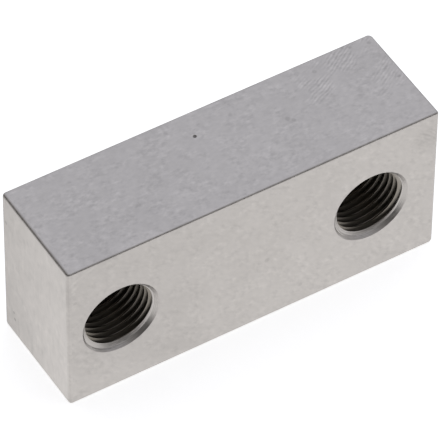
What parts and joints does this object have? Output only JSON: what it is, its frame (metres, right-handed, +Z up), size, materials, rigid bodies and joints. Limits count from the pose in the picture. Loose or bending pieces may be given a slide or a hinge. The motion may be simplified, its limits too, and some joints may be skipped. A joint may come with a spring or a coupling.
{
  "type": "valve manifold blanking plate",
  "caption": "Rectangular aluminium block with blind tapped ports in its front face, screwed to a pneumatic valve manifold to close an unused station.",
  "frame": {"origin": "centre of the long narrow side that the plate stands on", "axes": "+X along the plate's length, towards the end with the wider margin beside its port; -Y out of the port mouths, so +Y is the depth of the ports; +Z up across the port face"},
  "size_m": [0.05, 0.015, 0.0223],
  "materials": {
    "aluminium": "satin, tumbled after machining"
  },
  "bodies": {
    "root": {"blanking_plate": "aluminium"}
  },
  "joints": []
}
